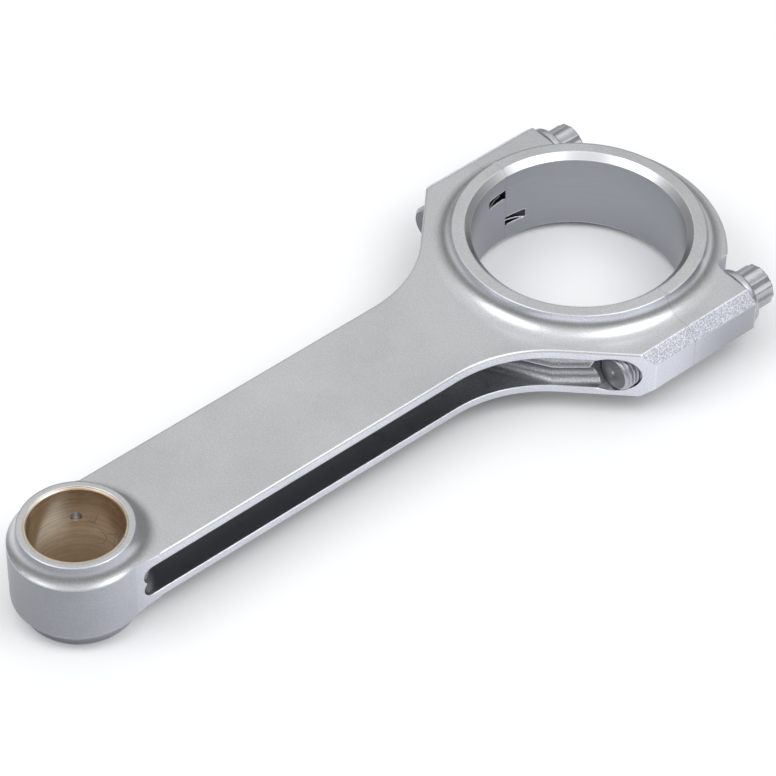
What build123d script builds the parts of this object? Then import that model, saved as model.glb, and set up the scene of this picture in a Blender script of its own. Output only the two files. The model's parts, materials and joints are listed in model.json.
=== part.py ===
from build123d import *
import os
from math import sqrt

# Forged steel H-beam connecting rod for a piston engine, with its bolted cap.
# Frame: origin at the centre of the crank bore on the mid-plane, +X along the beam to the
# pin bore, +Z along the crank bore axis. The cap and the bolt heads are on the -X side.
# Lengths in millimetres, angles in degrees.

# --- overall sizes ---
centre_distance = 172.72
crank_bore_radius = 29.5275
big_end_width = 26.6
pin_bore_radius = 12.573
pin_end_width = 28.4
beam_thickness = 15.6
beam_half_width = 17.15

# --- walls round the two bores ---
big_ring_wall = 5.27
cap_wall = 11.27
crank_bore_chamfer = 1.7
pin_ring_wall = 2.63
pin_end_wall = 5.43
pin_bore_chamfer = 0.4
bushing_wall = 0.8

# --- bolt bosses and outline ---
bolt_gap = 8.47
shoulder_wall = 8.5
shoulder_corner_x = 14.3
seat_depth = 22.67
flare_blend_radius = 37.5
side_flat_chamfer = 3.3
edge_break = 0.45
spot_face_radius = 11.2
spot_face_fillet = 2.2

# --- cap bolts (7/16 inch thread) ---
bolt_radius = 5.5
bolt_length = 44.45
bolt_tip_chamfer = 0.9
bolt_running_clearance = 0.05
tip_relief_clearance = 0.35
tip_relief_start = 13.5
flange_radius = 8.25
flange_rim = 1.9
flange_cone = 1.2
head_radius = 6.15
head_height = 10.2
head_chamfer = 0.45
dimple_radius = 0.6
dimple_depth = 0.45

# --- alignment sleeves round the bolts at the parting face ---
sleeve_wall = 0.9
sleeve_bolt_clearance = 0.2
sleeve_depth_in_rod = 4.5
sleeve_depth_in_cap = 3.5
sleeve_slide_clearance = 0.02
sleeve_end_gap = 0.15

# --- side channels, each cut in two passes of a round-nosed cutter ---
cutter_radius = 2.9
cutter_pass_offset = 2.2
web_thickness = 5.2
channel_pin_end_inset = 0.6
channel_turn_gap = 17.4
channel_turn_radius = 10.0
knee_gap = 14.07
knee_angle = 38.3
channel_end_gap = 13.5
channel_end_angle = 56.3

# --- oil holes into the pin bore ---
oil_hole_radius = 1.5
oil_hole_angle = 54.0
oil_hole_height = 4.0

# --- bearing tang notches beside the parting face ---
tang_cutter_radius = 10.9
tang_depth = 1.7
tang_width = 2.9
tang_height = 5.2

# --- sizes that follow from the ones above ---
face_z = beam_thickness / 2
big_z = big_end_width / 2
pin_z = pin_end_width / 2
big_ring_radius = crank_bore_radius + big_ring_wall
cap_wall_radius = crank_bore_radius + cap_wall
big_cove = big_z - face_z
pin_ring_radius = pin_bore_radius + pin_ring_wall
pin_end_radius = pin_bore_radius + pin_end_wall
pin_cove = pin_z - face_z
bushing_outer_radius = pin_bore_radius + bushing_wall
bolt_y = crank_bore_radius + bolt_gap
shoulder_y = bolt_y + shoulder_wall
flare_corner_x = shoulder_corner_x + shoulder_y - beam_half_width
bolt_tip_x = bolt_length - seat_depth
bolt_hole_radius = bolt_radius + bolt_running_clearance
sleeve_inner_radius = bolt_radius + sleeve_bolt_clearance
sleeve_radius = sleeve_inner_radius + sleeve_wall
tip_relief_radius = bolt_radius + tip_relief_clearance
tang_centre_y = tang_cutter_radius - crank_bore_radius - tang_depth
beyond = 0.5 * centre_distance
pick_tolerance = 0.01


# --- plan outline of rod and cap together, as a plate as thick as the beam ---
with BuildPart() as plate:
    with BuildSketch() as outline:
        with BuildLine():
            Polyline(
                (-seat_depth, -shoulder_y),
                (shoulder_corner_x, -shoulder_y),
                (flare_corner_x, -beam_half_width),
                (centre_distance, -beam_half_width),
                (centre_distance, beam_half_width),
                (flare_corner_x, beam_half_width),
                (shoulder_corner_x, shoulder_y),
                (-seat_depth, shoulder_y),
                close=True,
            )
        make_face()
        flare_corners = outline.vertices().filter_by(lambda v: abs(v.X - flare_corner_x) < pick_tolerance)
        fillet(flare_corners, flare_blend_radius)
        Circle(cap_wall_radius)
        with Locations((centre_distance, 0)):
            Circle(pin_end_radius)
    extrude(amount=face_z, both=True)
    face_rims = plate.edges().filter_by(lambda edge: abs(abs(edge.center().Z) - face_z) < pick_tolerance)
    chamfer(face_rims, edge_break)
    # 45 degree chamfers along the side flats
    with BuildSketch(Plane.YZ):
        Rectangle(2 * shoulder_y, beam_thickness)
        chamfer(vertices(), side_flat_chamfer)
    extrude(amount=2 * centre_distance, both=True, mode=Mode.INTERSECT)

# --- the same outline at full height, to trim the ring at the pin end ---
with BuildPart() as tall_outline:
    add(outline.sketch)
    extrude(amount=pin_z, both=True)

# --- rings that rise from the beam face through a round cove ---
with BuildPart() as rings:
    with BuildSketch(Plane.XZ):
        with BuildLine():
            Line((0, -big_z), (big_ring_radius, -big_z))
            RadiusArc((big_ring_radius, -big_z), (big_ring_radius + big_cove, -face_z), big_cove)
            Line((big_ring_radius + big_cove, -face_z), (big_ring_radius + big_cove, face_z))
            RadiusArc((big_ring_radius + big_cove, face_z), (big_ring_radius, big_z), big_cove)
            Line((big_ring_radius, big_z), (0, big_z))
            Line((0, big_z), (0, -big_z))
        make_face()
    revolve(axis=Axis.Z)
    with BuildSketch(Plane.XZ.move(Location((centre_distance, 0, 0)))):
        with BuildLine():
            Line((0, -pin_z), (pin_ring_radius, -pin_z))
            RadiusArc((pin_ring_radius, -pin_z), (pin_ring_radius + pin_cove, -face_z), pin_cove)
            Line((pin_ring_radius + pin_cove, -face_z), (pin_ring_radius + pin_cove, face_z))
            RadiusArc((pin_ring_radius + pin_cove, face_z), (pin_ring_radius, pin_z), pin_cove)
            Line((pin_ring_radius, pin_z), (0, pin_z))
            Line((0, pin_z), (0, -pin_z))
        make_face()
    revolve(axis=Axis((centre_distance, 0, 0), (0, 0, 1)))
    add(tall_outline.part, mode=Mode.INTERSECT)

with BuildPart() as blank:
    add(plate.part)
    add(rings.part)
    # crank bore and its chamfers
    with BuildSketch(Plane.XY.offset(-big_z)):
        Circle(crank_bore_radius)
    extrude(amount=big_end_width, mode=Mode.SUBTRACT)
    bore_rims = blank.edges().filter_by(GeomType.CIRCLE).filter_by(
        lambda rim: abs(rim.radius - crank_bore_radius) < pick_tolerance
    )
    chamfer(bore_rims, crank_bore_chamfer)


# --- tool that cuts the +Y side channel ---
# The centre of the cutter's round nose comes in beside the pin end, follows the web, then
# runs out along the wall of the big end to the bolt hole.
nose_y = web_thickness / 2 + cutter_radius
pin_path_radius = pin_end_radius - channel_pin_end_inset + cutter_radius
path_start = (centre_distance - sqrt(pin_path_radius**2 - beam_half_width**2), beam_half_width)
pin_turn = (centre_distance - sqrt(pin_path_radius**2 - nose_y**2), nose_y)
big_turn = (crank_bore_radius + channel_turn_gap, nose_y)
knee = Vector(crank_bore_radius + knee_gap, 0).rotate(Axis.Z, knee_angle)
path_end = Vector(crank_bore_radius + channel_end_gap, 0).rotate(Axis.Z, channel_end_angle)

with BuildPart() as channel_tool:
    for pass_z in (-cutter_pass_offset, cutter_pass_offset):
        with BuildSketch(Plane.XY.offset(pass_z)) as swept_area:
            with BuildLine():
                Polyline(
                    path_start,
                    (path_start[0], shoulder_y),
                    (path_end.X, shoulder_y),
                    (path_end.X, path_end.Y),
                    (knee.X, knee.Y),
                    big_turn,
                    pin_turn,
                )
                RadiusArc(pin_turn, path_start, pin_path_radius)
            make_face()
            turns = swept_area.vertices().filter_by(lambda v: abs(v.Y - nose_y) < pick_tolerance)
            fillet(turns, channel_turn_radius)
        extrude(amount=cutter_radius, both=True)
        path_edges = swept_area.sketch.edges().filter_by(
            lambda edge: edge.bounding_box().max.Y < path_end.Y + pick_tolerance
        )
        for path_edge in path_edges:
            with BuildSketch(Plane(origin=path_edge @ 0, z_dir=path_edge % 0)):
                Circle(cutter_radius)
            sweep(path=path_edge)
            with Locations(path_edge @ 0, path_edge @ 1):
                Sphere(cutter_radius)
    # the cutter leaves straight through the side at both ends of its path
    with BuildSketch(Plane.XZ.offset(-beam_half_width)):
        with Locations((path_start[0], -cutter_pass_offset), (path_start[0], cutter_pass_offset)):
            Circle(cutter_radius)
    extrude(amount=beam_half_width - shoulder_y)
    with BuildSketch(Plane.XZ.offset(-path_end.Y)):
        with Locations((path_end.X, -cutter_pass_offset), (path_end.X, cutter_pass_offset)):
            Circle(cutter_radius)
    extrude(amount=path_end.Y - shoulder_y)

# --- rod body: beam, pin end and the half of the big end it carries ---
with BuildPart() as rod_body:
    add(blank.part)
    split(bisect_by=Plane.YZ, keep=Keep.TOP)
    add(channel_tool.part, mode=Mode.SUBTRACT)
    add(mirror(channel_tool.part, about=Plane.XZ, mode=Mode.PRIVATE), mode=Mode.SUBTRACT)
    # bore for the pin bushing
    with BuildSketch(Plane.XY.offset(-pin_z)):
        with Locations((centre_distance, 0)):
            Circle(bushing_outer_radius)
    extrude(amount=pin_end_width, mode=Mode.SUBTRACT)
    # bolt holes, their relief round the bolt tips, and the seats of the alignment sleeves
    with BuildSketch(Plane.YZ):
        with Locations((-bolt_y, 0), (bolt_y, 0)):
            Circle(bolt_hole_radius)
    extrude(amount=beyond, mode=Mode.SUBTRACT)
    with BuildSketch(Plane.YZ.offset(tip_relief_start)):
        with Locations((-bolt_y, 0), (bolt_y, 0)):
            Circle(tip_relief_radius)
    extrude(amount=beyond, mode=Mode.SUBTRACT)
    with BuildSketch(Plane.YZ):
        with Locations((-bolt_y, 0), (bolt_y, 0)):
            Circle(sleeve_radius)
    extrude(amount=sleeve_depth_in_rod, mode=Mode.SUBTRACT)
    # oil holes from the ends of the side channels
    for side in (-1, 1):
        outwards = Vector(-1, 0, 0).rotate(Axis.Z, side * oil_hole_angle)
        with BuildSketch(Plane(origin=(centre_distance, 0, oil_hole_height), z_dir=outwards)):
            Circle(oil_hole_radius)
        extrude(amount=pin_path_radius, mode=Mode.SUBTRACT)
    # notch for one bearing shell's tang
    with BuildSketch(Plane.XY.offset(tang_height - tang_width / 2)):
        with Locations((0, tang_centre_y)):
            Circle(tang_cutter_radius)
    extrude(amount=tang_width, mode=Mode.SUBTRACT)
rod_body.part.label = "rod_body"

# --- cap: the other half of the big end ---
with BuildPart() as rod_cap:
    add(blank.part)
    split(bisect_by=Plane.YZ, keep=Keep.BOTTOM)
    # spot faces the bolt flanges sit on
    for side in (-1, 1):
        spot_face_edge_y = side * (bolt_y + spot_face_radius)
        with BuildSketch(Plane.XY) as spot_face:
            with BuildLine():
                Polyline(
                    (-beyond, side * bolt_y),
                    (-seat_depth, side * bolt_y),
                    (-seat_depth, spot_face_edge_y),
                    (-beyond, spot_face_edge_y),
                    close=True,
                )
            make_face()
            fillet(spot_face.vertices().sort_by_distance((0, spot_face_edge_y))[0], spot_face_fillet)
        revolve(axis=Axis((0, side * bolt_y, 0), (1, 0, 0)), mode=Mode.SUBTRACT)
    with BuildSketch(Plane.YZ):
        with Locations((-bolt_y, 0), (bolt_y, 0)):
            Circle(bolt_hole_radius)
    extrude(amount=-beyond, mode=Mode.SUBTRACT)
    with BuildSketch(Plane.YZ):
        with Locations((-bolt_y, 0), (bolt_y, 0)):
            Circle(sleeve_radius + sleeve_slide_clearance)
    extrude(amount=-sleeve_depth_in_cap - sleeve_end_gap, mode=Mode.SUBTRACT)
    # notch for the other bearing shell's tang
    with BuildSketch(Plane.XY.offset(-tang_height - tang_width / 2)):
        with Locations((0, tang_centre_y)):
            Circle(tang_cutter_radius)
    extrude(amount=tang_width, mode=Mode.SUBTRACT)
rod_cap.part.label = "rod_cap"

# --- bronze bushing pressed into the pin end ---
with BuildPart() as pin_bushing:
    with BuildSketch(Plane.XY.offset(-pin_z)):
        with Locations((centre_distance, 0)):
            Circle(bushing_outer_radius)
            Circle(pin_bore_radius, mode=Mode.SUBTRACT)
    extrude(amount=pin_end_width)
    pin_bore_rims = pin_bushing.edges().filter_by(GeomType.CIRCLE).filter_by(
        lambda rim: abs(rim.radius - pin_bore_radius) < pick_tolerance
    )
    chamfer(pin_bore_rims, pin_bore_chamfer)
    for side in (-1, 1):
        outwards = Vector(-1, 0, 0).rotate(Axis.Z, side * oil_hole_angle)
        with BuildSketch(Plane(origin=(centre_distance, 0, oil_hole_height), z_dir=outwards)):
            Circle(oil_hole_radius)
        extrude(amount=pin_path_radius, mode=Mode.SUBTRACT)
pin_bushing.part.label = "pin_bushing"

# --- cap bolt on the X axis: flanged head, plain body at the thread's outside size ---
head_end_x = -seat_depth - head_height
with BuildPart() as bolt:
    with BuildSketch(Plane.XY):
        with BuildLine():
            Polyline(
                (head_end_x, 0),
                (head_end_x, head_radius - head_chamfer),
                (head_end_x + head_chamfer, head_radius),
                (-seat_depth - flange_rim - flange_cone, head_radius),
                (-seat_depth - flange_rim, flange_radius),
                (-seat_depth, flange_radius),
                (-seat_depth, bolt_radius),
                (bolt_tip_x - bolt_tip_chamfer, bolt_radius),
                (bolt_tip_x, bolt_radius - bolt_tip_chamfer),
                (bolt_tip_x, dimple_radius),
                (bolt_tip_x - dimple_depth, 0),
                close=True,
            )
        make_face()
    revolve(axis=Axis.X)

# --- hollow dowels that line the cap up, pressed into the rod ---
with BuildPart() as sleeve:
    with BuildSketch(Plane.YZ.offset(-sleeve_depth_in_cap)):
        Circle(sleeve_radius)
        Circle(sleeve_inner_radius, mode=Mode.SUBTRACT)
    extrude(amount=sleeve_depth_in_cap + sleeve_depth_in_rod)

# --- one bolt and one sleeve on each side of the crank bore ---
fasteners = []
for side_name, side in (("left", 1), ("right", -1)):
    with BuildPart() as cap_bolt:
        add(bolt.part.moved(Location((0, side * bolt_y, 0))))
    cap_bolt.part.label = f"cap_bolt_{side_name}"
    with BuildPart() as alignment_sleeve:
        add(sleeve.part.moved(Location((0, side * bolt_y, 0))))
    alignment_sleeve.part.label = f"alignment_sleeve_{side_name}"
    fasteners += [cap_bolt, alignment_sleeve]

os.makedirs("parts", exist_ok=True)
for sub_part in (rod_body, rod_cap, pin_bushing, *fasteners):
    export_step(sub_part.part, f"parts/{sub_part.part.label}.step")
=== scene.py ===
"""Forged steel H-beam connecting rod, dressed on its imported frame.

The rod, the cap, the pin bushing and the alignment sleeves keep their machined
solids and get their finishes here. The two cap bolts are modelled anew, with a
twelve-point head, a flange, a shank and a rolled thread. All lengths are metres.
"""

import json
import logging
import math
from dataclasses import dataclass, field
from enum import Enum
from typing import Iterable, Sequence

import bmesh
import bpy
from mathutils import Matrix, Vector

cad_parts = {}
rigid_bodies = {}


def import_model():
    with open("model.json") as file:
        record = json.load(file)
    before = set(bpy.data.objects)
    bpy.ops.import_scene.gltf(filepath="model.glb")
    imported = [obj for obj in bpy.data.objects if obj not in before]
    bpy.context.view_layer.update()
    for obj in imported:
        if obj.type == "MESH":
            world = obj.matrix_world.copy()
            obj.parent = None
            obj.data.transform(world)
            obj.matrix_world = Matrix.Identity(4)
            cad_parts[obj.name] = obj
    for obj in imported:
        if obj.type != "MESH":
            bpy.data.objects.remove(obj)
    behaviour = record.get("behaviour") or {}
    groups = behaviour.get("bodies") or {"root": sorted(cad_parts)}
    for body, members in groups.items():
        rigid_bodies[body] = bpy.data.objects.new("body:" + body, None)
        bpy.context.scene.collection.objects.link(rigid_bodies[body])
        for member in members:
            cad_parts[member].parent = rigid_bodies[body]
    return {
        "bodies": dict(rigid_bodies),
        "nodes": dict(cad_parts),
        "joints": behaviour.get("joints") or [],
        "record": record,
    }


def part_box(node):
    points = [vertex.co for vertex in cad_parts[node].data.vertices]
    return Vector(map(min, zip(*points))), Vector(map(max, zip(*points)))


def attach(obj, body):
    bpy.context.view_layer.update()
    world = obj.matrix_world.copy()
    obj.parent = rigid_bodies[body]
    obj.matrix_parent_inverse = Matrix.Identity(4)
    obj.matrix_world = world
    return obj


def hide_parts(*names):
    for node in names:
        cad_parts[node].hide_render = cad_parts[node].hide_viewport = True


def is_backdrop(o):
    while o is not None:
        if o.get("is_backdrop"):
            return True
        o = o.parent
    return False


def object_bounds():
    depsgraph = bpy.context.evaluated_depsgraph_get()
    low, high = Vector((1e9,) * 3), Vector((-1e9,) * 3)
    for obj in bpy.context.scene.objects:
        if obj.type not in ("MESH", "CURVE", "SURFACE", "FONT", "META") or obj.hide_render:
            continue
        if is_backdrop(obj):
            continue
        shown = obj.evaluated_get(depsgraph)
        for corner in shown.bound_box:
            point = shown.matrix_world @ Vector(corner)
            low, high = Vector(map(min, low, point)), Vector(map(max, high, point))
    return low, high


LOG = logging.getLogger("connecting_rod")
MM = 0.001
NEAR = 0.001 * MM
Socket = bpy.types.NodeSocket
Outputs = bpy.types.NodeOutputs
Colour = tuple[float, float, float, float]


class Side(Enum):
    """The side of the crank bore that a fastener stands on."""

    LEFT = 1
    RIGHT = -1

    @property
    def word(self) -> str:
        """The side's name as the frame's nodes and bodies spell it."""
        return self.name.lower()


# ---- node trees ----


class Graph:
    """A thin writer over a node tree, so that a finish reads as arithmetic."""

    def __init__(self, tree: bpy.types.NodeTree) -> None:
        """Takes the tree that the nodes go into.

        Args:
            tree: a shader or geometry node tree.
        """
        self.tree = tree

    def node(self, kind: str, **settings: object) -> bpy.types.Node:
        """Adds one node.

        Args:
            kind: the node's type name.
            settings: properties to set on it.

        Returns:
            The new node.
        """
        made = self.tree.nodes.new(kind)
        for name, value in settings.items():
            setattr(made, name, value)
        return made

    def feed(self, socket: Socket, value: object) -> None:
        """Links a socket to an output, or sets its value.

        Args:
            socket: the input to feed.
            value: an output socket, a number or a sequence of numbers.
        """
        if isinstance(value, Socket):
            self.tree.links.new(value, socket)
        elif value is not None:
            socket.default_value = value

    def wired(self, kind: str, values: Iterable[object], **settings: object) -> bpy.types.Node:
        """Adds one node and feeds its inputs in order.

        Args:
            kind: the node's type name.
            values: its inputs, each a socket, a number or a sequence of numbers.
            settings: properties to set on it.

        Returns:
            The new node.
        """
        made = self.node(kind, **settings)
        for socket, value in zip(made.inputs, values):
            self.feed(socket, value)
        return made

    def math(self, operation: str, *values: object) -> Socket:
        """Adds a Math node.

        Args:
            operation: the Math node's operation.
            values: its inputs, each a socket or a number.

        Returns:
            The node's output.
        """
        return self.wired("ShaderNodeMath", values, operation=operation).outputs[0]

    def times(self, first: object, *others: object) -> Socket:
        """Multiplies numbers, such as masks that have to hold at once.

        Args:
            first: the first number.
            others: the numbers that it is multiplied by.

        Returns:
            The product.
        """
        for other in others:
            first = self.math("MULTIPLY", first, other)
        return first

    def vector(self, operation: str, *values: object) -> Socket:
        """Adds a Vector Math node whose result is a vector.

        Args:
            operation: the Vector Math node's operation.
            values: its inputs.

        Returns:
            The vector output.
        """
        return self.wired("ShaderNodeVectorMath", values, operation=operation).outputs["Vector"]

    def measure(self, operation: str, *values: object) -> Socket:
        """Adds a Vector Math node whose result is a number.

        Args:
            operation: DOT_PRODUCT or LENGTH.
            values: its inputs.

        Returns:
            The value output.
        """
        return self.wired("ShaderNodeVectorMath", values, operation=operation).outputs["Value"]

    def split(self, vector: object) -> tuple[Socket, ...]:
        """Separates a vector.

        Args:
            vector: the vector's socket.

        Returns:
            Its X, Y and Z outputs.
        """
        return tuple(self.wired("ShaderNodeSeparateXYZ", (vector,)).outputs)

    def join(self, x: object, y: object, z: object) -> Socket:
        """Combines three numbers.

        Args:
            x: the first part.
            y: the second part.
            z: the third part.

        Returns:
            The vector output.
        """
        return self.wired("ShaderNodeCombineXYZ", (x, y, z)).outputs[0]

    def ramp(self, value: object, low: object, high: object, start: float = 0.0, end: float = 1.0) -> Socket:
        """Maps a number from one range to another, smoothly and clamped at both ends.

        Args:
            value: the number to map.
            low: where the input range starts.
            high: where the input range ends.
            start: the result at low.
            end: the result at high.

        Returns:
            The mapped value.
        """
        given = (value, low, high, start, end)
        return self.wired("ShaderNodeMapRange", given, interpolation_type="SMOOTHSTEP").outputs[0]

    def above(self, value: object, limit: float, soft: float) -> Socket:
        """A mask that rises over a soft step and is one from a limit on.

        Args:
            value: the number to test.
            limit: where the mask reaches one.
            soft: the width of the step.

        Returns:
            The mask.
        """
        return self.ramp(value, limit - soft, limit)

    def below(self, value: object, limit: float, soft: float) -> Socket:
        """A mask that falls over a soft step and is nought from a limit on.

        Args:
            value: the number to test.
            limit: where the mask reaches nought.
            soft: the width of the step.

        Returns:
            The mask.
        """
        return self.ramp(value, limit, limit - soft)

    def mix(self, factor: object, a: object, b: object) -> Socket:
        """Mixes two colours.

        Args:
            factor: the share of the second colour.
            a: the first colour.
            b: the second colour.

        Returns:
            The mixed colour.
        """
        made = self.node("ShaderNodeMix", data_type="RGBA")
        self.feed(made.inputs[0], factor)
        self.feed(made.inputs[6], a)
        self.feed(made.inputs[7], b)
        return made.outputs[2]

    def lerp(self, factor: object, a: object, b: object) -> Socket:
        """Mixes two numbers.

        Args:
            factor: the share of the second number.
            a: the first number.
            b: the second number.

        Returns:
            The mixed number.
        """
        made = self.node("ShaderNodeMix", data_type="FLOAT")
        self.feed(made.inputs[0], factor)
        self.feed(made.inputs[2], a)
        self.feed(made.inputs[3], b)
        return made.outputs[0]

    def noise(self, vector: object, scale: object, detail: float, roughness: float) -> Socket:
        """Adds a three-dimensional Noise texture.

        Args:
            vector: where it is read.
            scale: its scale, per metre.
            detail: how many finer layers it has.
            roughness: how strong the finer layers are.

        Returns:
            Its value, about a half on average.
        """
        made = self.node("ShaderNodeTexNoise")
        self.feed(made.inputs["Vector"], vector)
        self.feed(made.inputs["Scale"], scale)
        self.feed(made.inputs["Detail"], detail)
        self.feed(made.inputs["Roughness"], roughness)
        return made.outputs[0]

    def cells(self, vector: object, scale: object, feature: str) -> Socket:
        """Adds a three-dimensional Voronoi texture.

        Args:
            vector: where it is read.
            scale: its scale, per metre.
            feature: which distance it measures.

        Returns:
            The distance.
        """
        made = self.node("ShaderNodeTexVoronoi", feature=feature)
        self.feed(made.inputs["Vector"], vector)
        self.feed(made.inputs["Scale"], scale)
        return made.outputs["Distance"]


class EffectGroup:
    """A shader node group that several finishes share, built once."""

    title: str = ""
    takes: tuple[tuple[str, str, object], ...] = ()
    gives: tuple[tuple[str, str], ...] = ()

    def tree(self) -> bpy.types.ShaderNodeTree:
        """The group's node tree, made at its first use."""
        found = bpy.data.node_groups.get(self.title)
        if found is not None:
            return found
        tree = bpy.data.node_groups.new(self.title, "ShaderNodeTree")
        for name, kind, default in self.takes:
            socket = tree.interface.new_socket(name, in_out="INPUT", socket_type=kind)
            if default is not None:
                socket.default_value = default
        for name, kind in self.gives:
            tree.interface.new_socket(name, in_out="OUTPUT", socket_type=kind)
        graph = Graph(tree)
        given = graph.node("NodeGroupInput").outputs
        results = graph.node("NodeGroupOutput").inputs
        for name, value in self.wire(graph, given).items():
            graph.feed(results[name], value)
        return tree

    def wire(self, g: Graph, given: Outputs) -> dict[str, Socket]:
        """Wires the effect.

        Args:
            g: the writer over the group's tree.
            given: the group's own inputs, by name.

        Returns:
            The socket that feeds each of the group's outputs.
        """
        raise NotImplementedError

    def place(self, g: Graph, **values: object) -> Outputs:
        """Puts the group into a material.

        Args:
            g: the writer over the material's tree.
            values: inputs by name, with underscores for spaces.

        Returns:
            The group node's outputs.
        """
        made = g.node("ShaderNodeGroup", node_tree=self.tree())
        for name, value in values.items():
            g.feed(made.inputs[name.replace("_", " ")], value)
        return made.outputs


class PeenedGrain(EffectGroup):
    """The fine pebbled grain that steel shot leaves."""

    title = "Peened Grain"
    takes = (
        ("Vector", "NodeSocketVector", None),
        ("Dimple Size", "NodeSocketFloat", 0.0004),
        ("Cloud Size", "NodeSocketFloat", 0.006),
    )
    gives = (
        ("Height", "NodeSocketFloat"),
        ("Speckle", "NodeSocketFloat"),
        ("Cloud", "NodeSocketFloat"),
    )

    def wire(self, g: Graph, given: Outputs) -> dict[str, Socket]:
        """Wires dimples, bright speckles and slow clouding.

        Args:
            g: the writer over the group's tree.
            given: the group's own inputs.

        Returns:
            The height of the grain, its speckle and its cloud.
        """
        where = given["Vector"]
        fine = g.math("DIVIDE", 1.0, given["Dimple Size"])
        slow = g.math("DIVIDE", 1.0, given["Cloud Size"])
        dimples = g.cells(where, fine, "SMOOTH_F1")
        crumbs = g.noise(where, g.times(fine, 0.8), 3.0, 0.6)
        height = g.math("ADD", g.times(dimples, 0.7), crumbs)
        speckle = g.noise(where, g.times(fine, 1.1), 1.0, 0.5)
        cloud = g.noise(where, slow, 3.0, 0.55)
        return {"Height": height, "Speckle": speckle, "Cloud": cloud}


class EdgeWearAndGlint(EffectGroup):
    """A softened normal along sharp edges, and how near an edge the surface is."""

    title = "Worn Edge"
    takes = (("Radius", "NodeSocketFloat", 0.0003),)
    gives = (("Normal", "NodeSocketVector"), ("Edge", "NodeSocketFloat"))

    def wire(self, g: Graph, given: Outputs) -> dict[str, Socket]:
        """Wires the softened normal and the edge mask.

        Args:
            g: the writer over the group's tree.
            given: the group's own inputs.

        Returns:
            The normal, and a mask that is one on an edge.
        """
        soft = g.node("ShaderNodeBevel", samples=6)
        g.feed(soft.inputs["Radius"], given["Radius"])
        flat = g.node("ShaderNodeNewGeometry").outputs["Normal"]
        along = g.measure("DOT_PRODUCT", soft.outputs[0], flat)
        edge = g.ramp(along, 0.995, 0.93)
        return {"Normal": soft.outputs[0], "Edge": edge}


class TurnedLines(EffectGroup):
    """Fine lines that run round an axis along Z, as honing or boring leaves them."""

    title = "Turned Lines"
    takes = (
        ("Vector", "NodeSocketVector", None),
        ("Centre X", "NodeSocketFloat", 0.0),
        ("Spacing", "NodeSocketFloat", 0.0003),
        ("Run", "NodeSocketFloat", 0.02),
    )
    gives = (("Line", "NodeSocketFloat"), ("Band", "NodeSocketFloat"))

    def wire(self, g: Graph, given: Outputs) -> dict[str, Socket]:
        """Wires thin lines and broader bands about the axis.

        Args:
            g: the writer over the group's tree.
            given: the group's own inputs.

        Returns:
            The thin lines and the broad bands.
        """
        x, y, z = g.split(given["Vector"])
        from_axis = g.math("SUBTRACT", x, given["Centre X"])
        heading = g.vector("NORMALIZE", g.join(from_axis, y, 0.0))
        u, v, _ = g.split(heading)
        stretch = g.math("DIVIDE", 0.02, given["Run"])
        across = g.math("DIVIDE", z, given["Spacing"])
        place = g.join(g.times(u, stretch), g.times(v, stretch), across)
        line = g.noise(place, 1.0, 2.0, 0.6)
        band = g.noise(place, 0.18, 3.0, 0.6)
        return {"Line": line, "Band": band}


class OilStain(EffectGroup):
    """Thin films of oil and shop dirt that darken hollows unevenly."""

    title = "Oil Stain"
    takes = (
        ("Vector", "NodeSocketVector", None),
        ("Size", "NodeSocketFloat", 0.004),
        ("Amount", "NodeSocketFloat", 0.5),
    )
    gives = (("Stain", "NodeSocketFloat"),)

    def wire(self, g: Graph, given: Outputs) -> dict[str, Socket]:
        """Wires patchy stains.

        Args:
            g: the writer over the group's tree.
            given: the group's own inputs.

        Returns:
            How strong the stain is.
        """
        patches = g.noise(given["Vector"], g.math("DIVIDE", 1.0, given["Size"]), 4.0, 0.62)
        threshold = g.math("SUBTRACT", 0.72, g.times(given["Amount"], 0.4))
        stain = g.ramp(patches, threshold, g.math("ADD", threshold, 0.18))
        return {"Stain": stain}


GRAIN = PeenedGrain()
EDGE = EdgeWearAndGlint()
LINES = TurnedLines()
STAIN = OilStain()


class Finish:
    """A surface finish: a material that is made once and worn by any piece."""

    title: str = ""
    metallic: float = 1.0

    def material(self) -> bpy.types.Material:
        """The finish's material, made at its first use."""
        found = bpy.data.materials.get(self.title)
        if found is not None:
            return found
        made = bpy.data.materials.new(self.title)
        made.use_nodes = True
        made.node_tree.nodes.clear()
        g = Graph(made.node_tree)
        output = g.node("ShaderNodeOutputMaterial")
        shader = g.node("ShaderNodeBsdfPrincipled")
        g.feed(output.inputs["Surface"], shader.outputs[0])
        shader.inputs["Metallic"].default_value = self.metallic
        self.dress(g, shader)
        return made

    def dress(self, g: Graph, shader: bpy.types.Node) -> None:
        """Feeds the shader's sockets.

        Args:
            g: the writer over the material's tree.
            shader: the material's Principled shader.
        """
        raise NotImplementedError


def emboss(
    g: Graph,
    shader: bpy.types.Node,
    height: Socket,
    normal: Socket,
    strength: float,
    depth: float = 0.04 * MM,
) -> None:
    """Feeds a shader's normal from a fine relief.

    Args:
        g: the writer over the material's tree.
        shader: the material's Principled shader.
        height: the relief's height.
        normal: the normal that the relief lies on.
        strength: how much of the relief shows.
        depth: the relief's depth where the height is one.
    """
    bump = g.node("ShaderNodeBump")
    for name, value in (("Strength", strength), ("Distance", depth), ("Height", height), ("Normal", normal)):
        g.feed(bump.inputs[name], value)
    g.feed(shader.inputs["Normal"], bump.outputs[0])


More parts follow.
